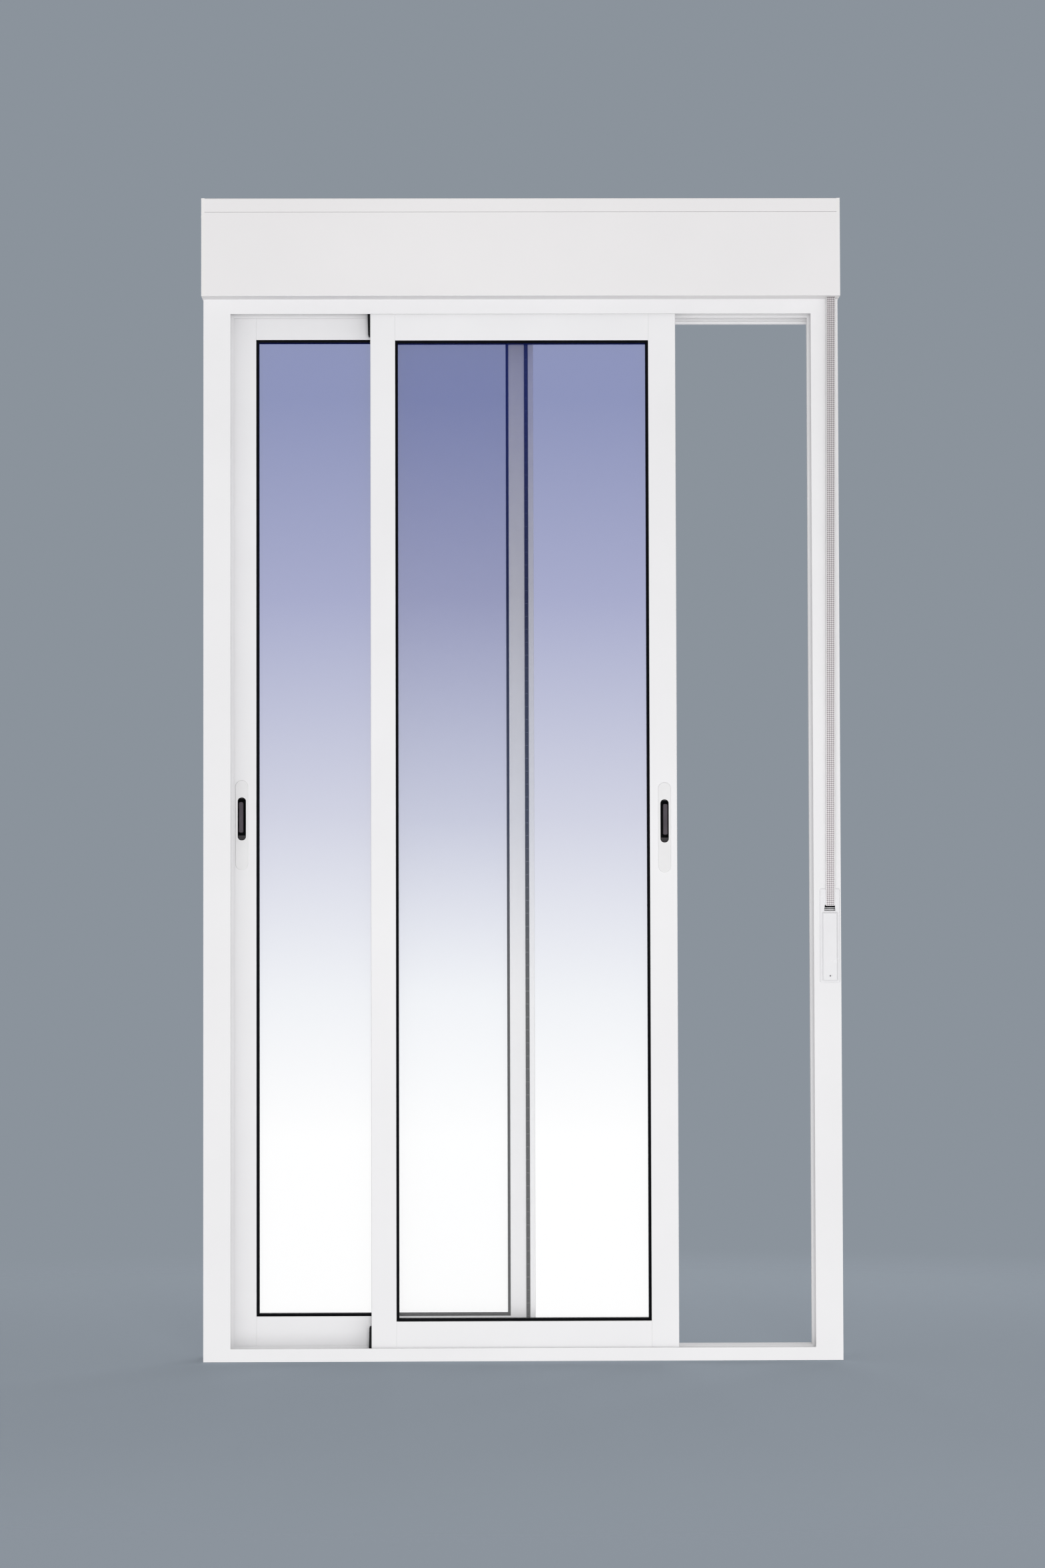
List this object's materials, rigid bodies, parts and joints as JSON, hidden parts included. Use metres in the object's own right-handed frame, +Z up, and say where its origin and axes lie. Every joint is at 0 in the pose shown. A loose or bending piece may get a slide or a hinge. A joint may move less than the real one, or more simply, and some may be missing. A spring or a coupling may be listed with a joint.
{
  "type": "glass sliding patio door",
  "caption": "Glazed sliding patio door with overlapping leaves in a white aluminium frame, under a roller-shutter box with a pull strap and winder.",
  "frame": {"origin": "middle of the sill's underside", "axes": "+X to the right seen from the room, +Y outdoors, +Z up"},
  "size_m": [1.207, 0.17, 2.185],
  "materials": {
    "lacquer": "white lacquer, satin",
    "leaf_lacquer": "white lacquer, satin",
    "glass": "clear",
    "spacer": "mill",
    "gasket": "matte black",
    "brush": "black pile",
    "black_plastic": "matte black",
    "carriage_steel": "zinc plated",
    "wheel": "nylon",
    "latch_white": "white lacquer",
    "trigger": "dark grey",
    "box_panel": "white, satin",
    "box_cap": "white, satin",
    "strap": "woven grey",
    "winder": "white"
  },
  "bodies": {
    "frame": {"box_back_panel": "box_panel", "box_bottom_panel": "box_panel", "box_front_cover": "box_panel", "box_left_end_cap": "box_cap", "box_right_end_cap": "box_cap", "box_top_panel": "box_panel", "head_track": "lacquer", "left_jamb": "lacquer", "left_shutter_rail": "lacquer", "right_jamb": "lacquer", "right_shutter_rail": "lacquer", "shutter_end_slat": "lacquer", "shutter_strap": "strap", "sill_track": "lacquer", "winder_cover": "winder", "winder_plate": "winder"},
    "inner_leaf": {"inner_bottom_rail": "leaf_lacquer", "inner_glass_gasket": "gasket", "inner_glass_panes": "glass", "inner_glass_spacer": "spacer", "inner_head_guides": "black_plastic", "inner_latch_case": "black_plastic", "inner_latch_plate": "latch_white", "inner_lock_stile": "leaf_lacquer", "inner_meeting_brush": "brush", "inner_meeting_stile": "leaf_lacquer", "inner_roller_carriages": "carriage_steel", "inner_roller_wheels": "wheel", "inner_top_rail": "leaf_lacquer", "inner_wind_stops": "black_plastic"},
    "outer_leaf": {"outer_bottom_rail": "leaf_lacquer", "outer_glass_gasket": "gasket", "outer_glass_panes": "glass", "outer_glass_spacer": "spacer", "outer_head_guides": "black_plastic", "outer_latch_case": "black_plastic", "outer_latch_plate": "latch_white", "outer_lock_stile": "leaf_lacquer", "outer_meeting_brush": "brush", "outer_meeting_stile": "leaf_lacquer", "outer_roller_carriages": "carriage_steel", "outer_roller_wheels": "wheel", "outer_top_rail": "leaf_lacquer", "outer_wind_stops": "black_plastic"},
    "inner_trigger": {"inner_latch_trigger": "trigger"},
    "outer_trigger": {"outer_latch_trigger": "trigger"}
  },
  "joints": [
    {"name": "inner_leaf_slide", "type": "slide", "parent": "frame", "child": "inner_leaf", "axis": [-1, 0, 0], "range_m": [-0.2615, 0.2494]},
    {"name": "outer_leaf_slide", "type": "slide", "parent": "frame", "child": "outer_leaf", "axis": [1, 0, 0], "range_m": [0, 0.5109]},
    {"name": "inner_trigger_slide", "type": "slide", "parent": "inner_leaf", "child": "inner_trigger", "axis": [-1, 0, 0], "range_m": [0, 0.004], "stiffness_N_per_m": 400},
    {"name": "outer_trigger_slide", "type": "slide", "parent": "outer_leaf", "child": "outer_trigger", "axis": [1, 0, 0], "range_m": [0, 0.004], "stiffness_N_per_m": 400}
  ]
}
